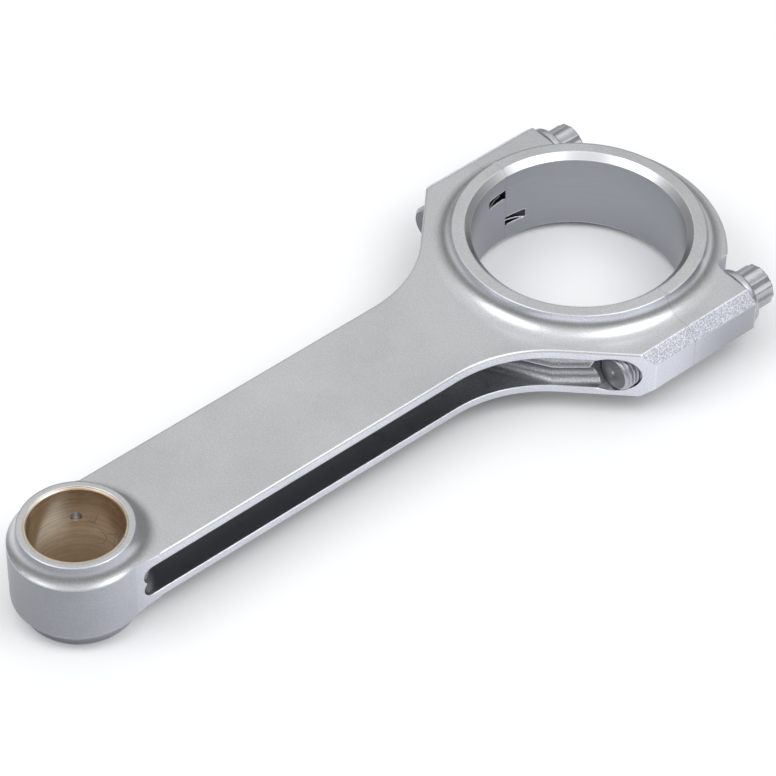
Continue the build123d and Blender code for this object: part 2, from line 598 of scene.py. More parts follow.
@dataclass(frozen=True)
class RodOutline:
    """The sizes that tell one machined surface of the rod from another."""

    beam_half: float
    shoulder_half: float
    shoulder_x: float
    flare_radius: float
    pin_x: float
    crank_bore: float
    channel_half: float = 5.25 * MM
    channel_start: float = 20.6 * MM
    channel_ring: float = 32.0 * MM
    channel_pin_ring: float = 17.3 * MM
    channel_pin_gap: float = 7.0 * MM
    trough_end: float = 84.0 * MM
    trough_full: float = 46.0 * MM
    notch_reach: float = 7.6 * MM
    notch_top: float = 6.75 * MM
    notch_floor: float = 31.4 * MM
    chamfer_side: float = 43.2 * MM

    @property
    def flare_corner(self) -> float:
        """The X where the 45 degree line of the flare would meet the beam."""
        return self.shoulder_x + self.shoulder_half - self.beam_half

    @property
    def flare_centre(self) -> tuple[float, float]:
        """The centre of the arc that joins the beam to the flare."""
        along = self.flare_radius * math.tan(math.radians(22.5))
        return (self.flare_corner + along, self.beam_half + self.flare_radius)

    def depth(self, g: Graph, x: object, y: object) -> Socket:
        """How far inside the rod's plan outline the surface lies.

        Args:
            g: the writer over the material's tree.
            x: the X place.
            y: the distance from the XZ plane.

        Returns:
            The depth, above nought inside.
        """
        centre_x, centre_y = self.flare_centre
        beam = g.math("SUBTRACT", self.beam_half, y)
        line = g.math("SUBTRACT", self.flare_corner + self.beam_half, g.math("ADD", x, y))
        straight = g.math("MAXIMUM", beam, g.times(line, math.sqrt(0.5)))
        straight = g.math("MINIMUM", straight, g.math("SUBTRACT", self.shoulder_half, y))
        off = g.join(g.math("SUBTRACT", x, centre_x), g.math("SUBTRACT", y, centre_y), 0.0)
        arc = g.math("SUBTRACT", g.measure("LENGTH", off), self.flare_radius)
        before = g.math("LESS_THAN", x, centre_x)
        turned = g.math("GREATER_THAN", g.math("SUBTRACT", x, y), centre_x - centre_y)
        return g.lerp(g.times(before, turned), straight, arc)


@dataclass(frozen=True)
class RodSteel(Finish):
    """Shot-peened forged steel, with bored, ground and milled surfaces."""

    outline: RodOutline
    title = "Peened rod steel"
    top_tone: float = 0.60
    # painted reflection: walls are lighter than the top, as if reflecting the floor
    wall_painted_tone: float = 0.74
    # painted shade: the darker walls of the cap and the darkened walls at the pin end
    cap_wall_shade_tone: float = 0.43
    pin_wall_shade_share: float = 0.42
    bore_tone: float = 0.37
    lead_tone: float = 0.72
    channel_tone: float = 0.36
    trough_tone: float = 0.42
    # painted shade: the inside of the notches is nearly black
    notch_shade_tone: float = 0.04
    seam_tone: float = 0.12
    # painted highlight with edge wear: the near-white tone along edges
    edge_wear_and_glint_tone: float = 0.95
    top_tint: Colour = (1.0, 1.0, 1.015, 1.0)
    # painted reflection: the bluer tint of the walls and chamfers
    wall_painted_tint: Colour = (0.96, 0.98, 1.07, 1.0)
    channel_tint: Colour = (0.97, 0.99, 1.04, 1.0)

    def dress(self, g: Graph, shader: bpy.types.Node) -> None:
        """Feeds the shader from the grain, the zones and the worn edges.

        Args:
            g: the writer over the material's tree.
            shader: the material's Principled shader.
        """
        o = self.outline
        coordinates = g.node("ShaderNodeTexCoord").outputs
        where, facing = coordinates["Object"], coordinates["Normal"]
        x, y, z = g.split(where)
        along, nz = g.math("ABSOLUTE", g.split(facing)[0]), g.split(facing)[2]
        side, height, from_parting = (g.math("ABSOLUTE", place) for place in (y, z, x))
        upward = g.math("ABSOLUTE", nz)
        from_crank = g.measure("LENGTH", g.join(x, y, 0.0))
        from_pin = g.measure("LENGTH", g.join(g.math("SUBTRACT", x, o.pin_x), y, 0.0))

        # bored wall, its lead chamfer, and the outer walls, with painted shade on the cap's walls and
        # towards the pin end
        bore = g.below(from_crank, o.crank_bore + 0.5 * MM, 0.3 * MM)
        bore_edge = g.below(from_crank, o.crank_bore + 2.0 * MM, 0.4 * MM)
        lead = g.times(bore_edge, g.below(upward, 0.95, 0.1), g.above(upward, 0.55, 0.1))
        walls = g.ramp(upward, 0.55, 0.2)
        pin_wall_shade = g.times(walls, g.ramp(x, o.pin_x - 22.0 * MM, o.pin_x + 18.0 * MM))
        cap_wall_shade = g.ramp(x, 15.0 * MM, -15.0 * MM)

        # the two milled notches for the bearing tangs, but not the parting face beside them
        notch = g.times(
            g.above(from_crank, o.crank_bore + 0.08 * MM, 0.06 * MM),
            g.math("LESS_THAN", y, 0.0),
            g.below(from_parting, o.notch_reach, 0.3 * MM),
            g.below(height, o.notch_top, 0.05 * MM),
            g.below(from_crank, o.notch_floor, 0.1 * MM),
            g.below(along, 0.9, 0.1),
        )

        # milled side channels: a dark web, and a trough round the big end
        channel = g.times(
            g.above(o.depth(g, x, side), 0.4 * MM, 0.25 * MM),
            g.below(height, o.channel_half, 0.15 * MM),
            g.above(from_crank, o.channel_ring, 0.5 * MM),
            g.below(x, o.pin_x - o.channel_pin_gap, 0.4 * MM),
            g.above(from_pin, o.channel_pin_ring, 0.2 * MM),
            g.above(x, o.channel_start, 0.3 * MM),
        )
        trough = g.ramp(x, o.trough_end, o.trough_full)

        # the 45 degree chamfers beside the bolts, left by the forging
        sloping = g.times(g.above(upward, 0.66, 0.06), g.below(upward, 0.8, 0.06))
        rough = g.times(sloping, g.above(side, o.chamfer_side, 0.3 * MM))

        grain = GRAIN.place(g, Vector=where, Dimple_Size=0.00036, Cloud_Size=0.03)
        coarse = GRAIN.place(g, Vector=where, Dimple_Size=0.00042, Cloud_Size=0.004)
        edges = EDGE.place(g, Radius=0.6 * MM)
        bored = LINES.place(g, Vector=where, Centre_X=0.0, Spacing=0.0004, Run=0.01)
        stain = STAIN.place(g, Vector=where, Size=0.006, Amount=0.4)["Stain"]
        # near the parting line, except on its own face, the two pieces shade as one
        beside_face = g.below(along, 0.8, 0.2)
        parting = g.times(g.below(from_parting, 1.0 * MM, 0.3 * MM), beside_face)
        worn = g.times(g.lerp(parting, edges["Edge"], 0.0), 0.8)

        # painted shade: the cap's walls are darker than the rod's
        wall_painted_tone = g.lerp(cap_wall_shade, self.wall_painted_tone, self.cap_wall_shade_tone)
        # painted reflection: the walls take a lighter tone than the top
        tone = g.lerp(walls, self.top_tone, wall_painted_tone)
        # painted shade: the walls darken towards the pin end
        tone = g.times(tone, g.lerp(pin_wall_shade, 1.0, self.pin_wall_shade_share))
        tone = g.times(tone, g.ramp(grain["Speckle"], 0.3, 0.7, 0.91, 1.09))
        tone = g.times(tone, g.ramp(grain["Cloud"], 0.3, 0.7, 0.93, 1.04))
        # painted glints over the grain: bright speckles on the forged chamfers
        sparkle = g.ramp(coarse["Speckle"], 0.42, 0.62, 0.95, 1.5)
        tone = g.lerp(rough, tone, g.times(tone, sparkle))
        bored_tone = g.times(self.bore_tone, g.ramp(bored["Line"], 0.3, 0.7, 0.98, 1.02))
        tone = g.lerp(bore, tone, bored_tone)
        tone = g.lerp(lead, tone, self.lead_tone)
        # painted glints over the grain: bright speckles in the trough
        speckle_glints = g.ramp(coarse["Speckle"], 0.45, 0.72, 0.92, 1.3)
        inner = g.lerp(trough, self.channel_tone, g.times(self.trough_tone, speckle_glints))
        inner = g.times(inner, g.ramp(stain, 0.0, 1.0, 1.0, 0.82))
        tone = g.lerp(channel, tone, inner)
        # painted shade: the notches are darkened nearly to black
        tone = g.lerp(g.times(notch, 0.96), tone, self.notch_shade_tone)
        # painted highlight with edge wear: edges turn near white
        tone = g.lerp(worn, tone, self.edge_wear_and_glint_tone)

        # the parting line between rod and cap
        seam = g.times(g.below(from_parting, 0.1 * MM, 0.07 * MM), beside_face)
        tone = g.lerp(g.times(seam, 0.45), tone, self.seam_tone)
        # painted reflection: walls and forged chamfers take the bluer wall tint
        tint = g.mix(g.math("MAXIMUM", walls, rough), self.top_tint, self.wall_painted_tint)
        tinted = g.vector("SCALE", g.mix(channel, tint, self.channel_tint))
        g.feed(tinted.node.inputs["Scale"], tone)
        g.feed(shader.inputs["Base Color"], tinted)

        coves = g.times(g.ramp(upward, 0.985, 0.9), g.ramp(upward, 0.02, 0.15))
        shine = g.lerp(coves, g.lerp(walls, 0.35, 0.38), 0.33)
        shine = g.math("ADD", shine, g.ramp(grain["Speckle"], 0.3, 0.7, -0.03, 0.03))
        for mask, roughness in ((bore, 0.3), (lead, 0.3), (rough, 0.42), (channel, 0.36)):
            shine = g.lerp(mask, shine, roughness)
        shine = g.lerp(worn, shine, 0.3)
        g.feed(shader.inputs["Roughness"], shine)

        # bored surfaces take the true normal of their cylinder or cone
        turned = g.math("MAXIMUM", bore, lead)
        rise = g.times(g.math("SIGN", nz), lead)
        inward = g.vector("NORMALIZE", g.join(g.times(x, -1.0), g.times(y, -1.0), 0.0))
        true_normal = g.vector("NORMALIZE", g.vector("ADD", inward, g.join(0.0, 0.0, rise)))
        spaces = {"vector_type": "NORMAL", "convert_from": "OBJECT", "convert_to": "WORLD"}
        to_world = g.wired("ShaderNodeVectorTransform", (true_normal,), **spaces)
        flat = g.node("ShaderNodeNewGeometry").outputs["Normal"]
        normal = g.mix(parting, edges["Normal"], flat)
        bored_only = g.times(turned, g.math("SUBTRACT", 1.0, notch), g.ramp(along, 0.999, 0.99))
        normal = g.mix(bored_only, normal, to_world.outputs[0])

        relief = g.lerp(rough, grain["Height"], g.times(coarse["Height"], 3.2))
        relief = g.lerp(bore, relief, g.times(bored["Line"], 0.15))
        emboss(g, shader, relief, normal, 0.2)


@dataclass(frozen=True)
class HonedBronze(Finish):
    """Honed bearing bronze with bands, fine lines and a few hairline marks."""

    axis_x: float
    dark: Colour = (0.55, 0.42, 0.295, 1.0)
    pale: Colour = (0.70, 0.56, 0.41, 1.0)
    lined: Colour = (0.84, 0.73, 0.58, 1.0)
    blotched: Colour = (0.38, 0.27, 0.17, 1.0)
    cracked: Colour = (0.10, 0.07, 0.05, 1.0)
    # painted reflection: the colour of a bright streak down one side of the bore
    painted_streak_colour: Colour = (1.0, 0.95, 0.84, 1.0)
    # painted shade: the colour of the darker lower half of the bore
    lower_shade: Colour = (0.36, 0.27, 0.18, 1.0)
    # painted highlight, partly edge polish: the pale colour along the edges
    rim: Colour = (0.98, 0.87, 0.68, 1.0)
    # painted reflection: the heading that the bright streak faces
    painted_streak_heading: tuple[float, float, float] = (0.131, -0.991, 0.0)
    title = "Honed bronze"

    def dress(self, g: Graph, shader: bpy.types.Node) -> None:
        """Feeds the shader from the honing lines.

        Args:
            g: the writer over the material's tree.
            shader: the material's Principled shader.
        """
        coordinates = g.node("ShaderNodeTexCoord").outputs
        where, facing = coordinates["Object"], coordinates["Normal"]
        lines = LINES.place(g, Vector=where, Centre_X=self.axis_x, Spacing=0.00025, Run=0.012)
        edges = EDGE.place(g, Radius=0.25 * MM)
        blotch = g.noise(where, 260.0, 4.0, 0.6)
        hair = g.cells(where, 210.0, "DISTANCE_TO_EDGE")
        patch = g.ramp(g.noise(where, 70.0, 2.0, 0.5), 0.5, 0.62)
        cracks = g.times(g.ramp(hair, 0.035, 0.0), patch)
        colour = g.mix(g.ramp(lines["Band"], 0.35, 0.65), self.dark, self.pale)
        colour = g.mix(g.ramp(lines["Line"], 0.5, 0.75, 0.0, 0.4), colour, self.lined)
        colour = g.mix(g.ramp(blotch, 0.45, 0.7, 0.0, 0.3), colour, self.blotched)
        colour = g.mix(g.times(cracks, 0.55), colour, self.cracked)
        # painted reflection: a bright streak down one side; painted shade: the lower half is darker
        x, y, z = g.split(where)
        heading = g.vector("NORMALIZE", g.join(g.math("SUBTRACT", x, self.axis_x), y, 0.0))
        band = g.ramp(g.measure("DOT_PRODUCT", heading, self.painted_streak_heading), 0.74, 0.97)
        streaks = g.ramp(lines["Line"], 0.35, 0.65, 0.45, 1.0)
        painted_streak = g.times(band, streaks, g.ramp(z, -9.0 * MM, 4.0 * MM))
        colour = g.mix(painted_streak, colour, self.painted_streak_colour)
        # painted shade, darker towards the bottom
        lower_shade = g.times(g.ramp(z, 3.0 * MM, -10.0 * MM), 0.7)
        colour = g.mix(lower_shade, colour, self.lower_shade)
        # edges turn pale gold: painted highlight, partly edge polish
        colour = g.mix(edges["Edge"], colour, self.rim)
        g.feed(shader.inputs["Base Color"], colour)
        shine = g.ramp(lines["Line"], 0.3, 0.7, 0.26, 0.38)
        shine = g.lerp(painted_streak, shine, 0.16)
        upward = g.math("ABSOLUTE", g.split(facing)[2])
        shine = g.lerp(g.ramp(upward, 0.5, 0.8), shine, 0.4)
        g.feed(shader.inputs["Roughness"], shine)
        emboss(g, shader, lines["Line"], edges["Normal"], 0.3)


@dataclass(frozen=True)
class BoltSteel(Finish):
    """Cleaned alloy bolt steel, grey and satin, with a darker cut tip."""

    axis_y: float
    tip_x: float
    title_suffix: str = ""

    @property
    def title(self) -> str:
        """The material's name, one for each bolt since its lines run round that bolt."""
        return "Bolt steel " + self.title_suffix

    def dress(self, g: Graph, shader: bpy.types.Node) -> None:
        """Feeds the shader from the grain, the worn edges and the tip's dark face.

        Args:
            g: the writer over the material's tree.
            shader: the material's Principled shader.
        """
        coordinates = g.node("ShaderNodeTexCoord").outputs
        where, facing = coordinates["Object"], coordinates["Normal"]
        x, y, z = g.split(where)
        nx = g.split(facing)[0]
        radius = g.measure("LENGTH", g.join(0.0, g.math("SUBTRACT", y, self.axis_y), z))
        grain = GRAIN.place(g, Vector=where, Dimple_Size=0.0003, Cloud_Size=0.005)
        edges = EDGE.place(g, Radius=0.18 * MM)
        stain = STAIN.place(g, Vector=where, Size=0.003, Amount=0.35)["Stain"]
        rings = g.noise(g.join(0.0, g.math("DIVIDE", radius, 0.00025), 0.0), 1.0, 2.0, 0.6)
        end_face = g.ramp(nx, 0.9, 0.98)
        tip = g.times(end_face, g.ramp(x, self.tip_x - 1.5 * MM, self.tip_x - 1.0 * MM))
        tone = g.ramp(grain["Speckle"], 0.3, 0.7, 0.44, 0.54)
        tone = g.times(tone, g.ramp(grain["Cloud"], 0.3, 0.7, 0.9, 1.06))
        tone = g.times(tone, g.ramp(stain, 0.0, 1.0, 1.0, 0.8))
        tone = g.lerp(tip, tone, g.ramp(rings, 0.3, 0.7, 0.16, 0.24))
        tone = g.lerp(g.times(edges["Edge"], 0.7), tone, 0.85)
        colour = g.vector("SCALE", g.join(1.0, 1.0, 1.06))
        g.feed(colour.node.inputs["Scale"], tone)
        g.feed(shader.inputs["Base Color"], colour)
        g.feed(shader.inputs["Roughness"], g.ramp(grain["Speckle"], 0.3, 0.7, 0.34, 0.44))
        emboss(g, shader, grain["Height"], edges["Normal"], 0.2)


@dataclass(frozen=True)
class SleeveSteel(Finish):
    """Ground dowel steel, with fine lines round the sleeve."""

    title = "Ground sleeve steel"

    def dress(self, g: Graph, shader: bpy.types.Node) -> None:
        """Feeds the shader from grinding lines across the sleeve's axis.

        Args:
            g: the writer over the material's tree.
            shader: the material's Principled shader.
        """
        where = g.node("ShaderNodeTexCoord").outputs["Object"]
        x = g.split(where)[0]
        line = g.noise(g.join(g.math("DIVIDE", x, 0.0002), 0.0, 0.0), 1.0, 3.0, 0.6)
        haze = g.noise(where, 300.0, 2.0, 0.5)
        edges = EDGE.place(g, Radius=0.12 * MM)
        tone = g.times(g.ramp(line, 0.3, 0.7, 0.5, 0.62), g.ramp(haze, 0.3, 0.7, 0.92, 1.05))
        tone = g.lerp(edges["Edge"], tone, 0.85)
        g.feed(shader.inputs["Base Color"], g.join(tone, tone, g.times(tone, 1.03)))
        g.feed(shader.inputs["Roughness"], g.ramp(line, 0.3, 0.7, 0.24, 0.36))
        emboss(g, shader, line, edges["Normal"], 0.25, 0.03 * MM)


@dataclass(frozen=True)
class PaleFloor(Finish):
    """Matt white board."""

    title = "Pale floor"
    metallic = 0.0
    tone: float = 0.93

    def dress(self, g: Graph, shader: bpy.types.Node) -> None:
        """Feeds the shader from a faint clouding.

        Args:
            g: the writer over the material's tree.
            shader: the material's Principled shader.
        """
        where = g.node("ShaderNodeTexCoord").outputs["Object"]
        cloud = g.noise(where, 6.0, 2.0, 0.5)
        shade = g.ramp(cloud, 0.3, 0.7, self.tone - 0.006, self.tone + 0.006)
        g.feed(shader.inputs["Base Color"], g.join(shade, shade, shade))
        shader.inputs["Roughness"].default_value = 0.9
        shader.inputs["Specular IOR Level"].default_value = 0.0


# ---- meshes ----


def lathe(profile: Sequence[tuple[float, float]], steps: int) -> tuple[list, list]:
    """Turns a profile round the X axis.

    Args:
        profile: (x, radius) pairs; a radius of nought is a pole.
        steps: how many steps go round.

    Returns:
        The vertices and the faces, poles closed with fans.
    """
    points: list[tuple[float, float, float]] = []
    rows: list[list[int]] = []
    for x, radius in profile:
        if radius < NEAR:
            rows.append([len(points)])
            points.append((x, 0.0, 0.0))
            continue
        start = len(points)
        rows.append(list(range(start, start + steps)))
        for k in range(steps):
            turn = 2 * math.pi * k / steps
            points.append((x, radius * math.cos(turn), radius * math.sin(turn)))
    faces: list[tuple[int, ...]] = []
    for near, far in zip(rows, rows[1:]):
        for k in range(steps):
            n = (k + 1) % steps
            if len(near) == 1:
                faces.append((near[0], far[n], far[k]))
            elif len(far) == 1:
                faces.append((near[k], near[n], far[0]))
            else:
                faces.append((near[k], near[n], far[n], far[k]))
    return points, faces


def linked(name: str, data: bpy.types.ID) -> bpy.types.Object:
    """Makes an object and puts it into the scene.

    Args:
        name: the object's name.
        data: its mesh, light or camera.

    Returns:
        The object.
    """
    made = bpy.data.objects.new(name, data)
    bpy.context.scene.collection.objects.link(made)
    return made


def mesh_object(name: str, points: Iterable, faces: Iterable) -> bpy.types.Object:
    """Makes an object from vertices and faces.

    Args:
        name: the object's name.
        points: its vertices.
        faces: its faces.

    Returns:
        The object, linked to the scene.
    """
    mesh = bpy.data.meshes.new(name)
    mesh.from_pydata(list(points), [], list(faces))
    return linked(name, mesh)


class RuledTube:
    """A tube along X whose radius follows a rule, made by Geometry Nodes.

    The tree starts from a grid whose columns go round the tube and whose rows
    go along it. Each rule gives the radius at an angle and a place along X.
    """

    title: str = ""
    takes: tuple[tuple[str, float], ...] = ()

    def rule(self, g: Graph, given: Outputs, turn: Socket, x: Socket) -> Socket:
        """Wires the radius.

        Args:
            g: the writer over the tree.
            given: the tree's own inputs.
            turn: the angle round the tube.
            x: the place along the tube.

        Returns:
            The radius.
        """
        raise NotImplementedError

    def tree(self) -> bpy.types.GeometryNodeTree:
        """The node tree, made at its first use."""
        found = bpy.data.node_groups.get(self.title)
        if found is not None:
            return found
        tree = bpy.data.node_groups.new(self.title, "GeometryNodeTree")
        face = tree.interface.new_socket
        face("Geometry", in_out="INPUT", socket_type="NodeSocketGeometry")
        for name, default in (("Start", 0.0), ("Length", 0.01), *self.takes):
            face(name, in_out="INPUT", socket_type="NodeSocketFloat").default_value = default
        for name, default in (("Steps Round", 120), ("Steps Along", 40)):
            face(name, in_out="INPUT", socket_type="NodeSocketInt").default_value = default
        face("Finish", in_out="INPUT", socket_type="NodeSocketMaterial")
        face("Geometry", in_out="OUTPUT", socket_type="NodeSocketGeometry")
        g = Graph(tree)
        given = g.node("NodeGroupInput").outputs
        columns = g.math("ADD", given["Steps Round"], 1)
        rows = g.math("ADD", given["Steps Along"], 1)
        grid = g.node("GeometryNodeMeshGrid")
        for name, value in (("Size X", 1.0), ("Size Y", 1.0), ("Vertices X", columns), ("Vertices Y", rows)):
            g.feed(grid.inputs[name], value)
        u, v, _ = g.split(g.node("GeometryNodeInputPosition").outputs[0])
        turn = g.times(g.math("ADD", u, 0.5), 2 * math.pi)
        x = g.math("ADD", given["Start"], g.times(g.math("ADD", v, 0.5), given["Length"]))
        radius = self.rule(g, given, turn, x)
        place = g.join(
            x,
            g.times(radius, g.math("COSINE", turn)),
            g.times(radius, g.math("SINE", turn)),
        )
        moved = g.node("GeometryNodeSetPosition")
        g.feed(moved.inputs["Geometry"], grid.outputs["Mesh"])
        g.feed(moved.inputs["Position"], place)
        welded = g.node("GeometryNodeMergeByDistance")
        g.feed(welded.inputs["Geometry"], moved.outputs[0])
        g.feed(welded.inputs["Distance"], NEAR)
        real = g.node("GeometryNodeRealizeInstances")
        g.feed(real.inputs[0], welded.outputs[0])
        dressed = g.node("GeometryNodeSetMaterial")
        g.feed(dressed.inputs["Geometry"], real.outputs[0])
        g.feed(dressed.inputs["Material"], given["Finish"])
        g.feed(g.node("NodeGroupOutput").inputs[0], dressed.outputs[0])
        return tree

    def mesh(self, finish: bpy.types.Material, **values: float) -> bpy.types.Mesh:
        """Evaluates the rule.

        Args:
            finish: the material that the tree sets.
            values: the tree's inputs by name, with underscores for spaces.

        Returns:
            A plain mesh; the object that held the modifier is gone.
        """
        tree = self.tree()
        holder = mesh_object(self.title, [], [])
        modifier = holder.modifiers.new(self.title, "NODES")
        modifier.node_group = tree
        sockets = {s.name: s.identifier for s in tree.interface.items_tree if s.in_out == "INPUT"}
        for name, value in values.items():
            modifier[sockets[name.replace("_", " ")]] = value
        modifier[sockets["Finish"]] = finish
        holder.update_tag()
        bpy.context.view_layer.update()
        evaluated = holder.evaluated_get(bpy.context.evaluated_depsgraph_get())
        made = bpy.data.meshes.new_from_object(evaluated)
        bpy.data.objects.remove(holder)
        return made


class RolledThread(RuledTube):
    """A right-hand thread with flat crests and rounded roots."""

    title = "Rolled Thread"
    takes = (
        ("Pitch", 0.00127),
        ("Crest Radius", 0.0055),
        ("Thread Depth", 0.00078),
        ("Tip X", 0.0218),
        ("Tip Radius", 0.0046),
        ("Runout", 0.0013),
    )

    def rule(self, g: Graph, given: Outputs, turn: Socket, x: Socket) -> Socket:
        """Wires the thread's radius, faded in at the shank and cut by the tip's chamfer.

        Args:
            g: the writer over the tree.
            given: the tree's own inputs.
            turn: the angle round the tube.
            x: the place along the tube.

        Returns:
            The radius.
        """
        phase = g.math("SUBTRACT", g.math("DIVIDE", x, given["Pitch"]), g.math("DIVIDE", turn, 2 * math.pi))
        across = g.times(g.math("ABSOLUTE", g.math("SUBTRACT", g.math("FRACT", phase), 0.5)), 2.0)
        cut = g.ramp(across, 0.87, 0.22)
        from_start = g.math("SUBTRACT", x, given["Start"])
        cut = g.times(cut, g.ramp(from_start, 0.0, given["Runout"]))
        thread = g.math("SUBTRACT", given["Crest Radius"], g.times(cut, given["Thread Depth"]))
        chamfer = g.math("ADD", given["Tip Radius"], g.math("SUBTRACT", given["Tip X"], x))
        return g.math("MINIMUM", thread, chamfer)


class TwelvePointHead(RuledTube):
    """The wrench flats of a double-hexagon head, chamfered at its end."""

    title = "Twelve Point Head"
    takes = (
        ("Point Radius", 0.00615),
        ("End Radius", 0.0051),
        ("End X", -0.0329),
        ("Chamfer Slope", 1.7),
    )

    def rule(self, g: Graph, given: Outputs, turn: Socket, x: Socket) -> Socket:
        """Wires the union of two hexagons and the cone that trims its points.

        Args:
            g: the writer over the tree.
            given: the tree's own inputs.
            turn: the angle round the tube.
            x: the place along the tube.

        Returns:
            The radius.
        """
        sixth = math.pi / 3
        flat = g.times(given["Point Radius"], math.cos(sixth / 2))
        hexagons = []
        for start in (0.0, sixth / 2):
            place = g.math("FLOORED_MODULO", g.math("ADD", turn, start), sixth)
            hexagons.append(g.math("DIVIDE", flat, g.math("COSINE", g.math("SUBTRACT", place, sixth / 2))))
        star = g.math("SMOOTH_MAX", *hexagons, 0.00035)
        worn = g.math("SUBTRACT", given["Point Radius"], 0.0001)
        star = g.math("SMOOTH_MIN", star, worn, 0.0002)
        from_end = g.math("SUBTRACT", x, given["End X"])
        cone = g.math("ADD", given["End Radius"], g.times(from_end, given["Chamfer Slope"]))
        return g.math("SMOOTH_MIN", star, cone, 0.00025)


# ---- sub-assemblies ----


@dataclass
class RodForging:
    """The rod and its cap, which stay as machined and get their finish."""

    record: dict
    beam_half: float = 17.15 * MM
    shoulder_x: float = 14.3 * MM
    flare_radius: float = 37.5 * MM

    def outline(self) -> RodOutline:
        """Reads the sizes that the finish needs from the frame.

        Returns:
            The outline, with the bores' places from the record's mounts.
        """
        mounts = {mount["name"]: mount for mount in self.record["mounts"]}
        return RodOutline(
            beam_half=self.beam_half,
            shoulder_half=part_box("rod_cap")[1].y,
            shoulder_x=self.shoulder_x,
            flare_radius=self.flare_radius,
            pin_x=mounts["pin_bore"]["pos_m"][0],
            crank_bore=mounts["crank_bore"]["dims"]["r_mm"] * MM,
        )

    def dress(self, nodes: dict[str, bpy.types.Object]) -> None:
        """Puts the peened steel on both forgings.

        Args:
            nodes: the frame's nodes by name.
        """
        steel = RodSteel(self.outline()).material()
        for name in ("rod_body", "rod_cap"):
            wear(nodes[name], steel)


@dataclass
class PinBushing:
    """The bronze bushing pressed into the pin end."""

    def dress(self, nodes: dict[str, bpy.types.Object]) -> None:
        """Puts the honed bronze on the bushing.

        Args:
            nodes: the frame's nodes by name.
        """
        low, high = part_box("pin_bushing")
        bronze = HonedBronze(axis_x=(low.x + high.x) / 2)
        wear(nodes["pin_bushing"], bronze.material())


@dataclass
class AlignmentSleeves:
    """The two hollow dowels round the bolts at the parting face."""

    def dress(self, nodes: dict[str, bpy.types.Object]) -> None:
        """Puts the ground steel on both sleeves.

        Args:
            nodes: the frame's nodes by name.
        """
        steel = SleeveSteel().material()
        for side in Side:
            wear(nodes["alignment_sleeve_" + side.word], steel)


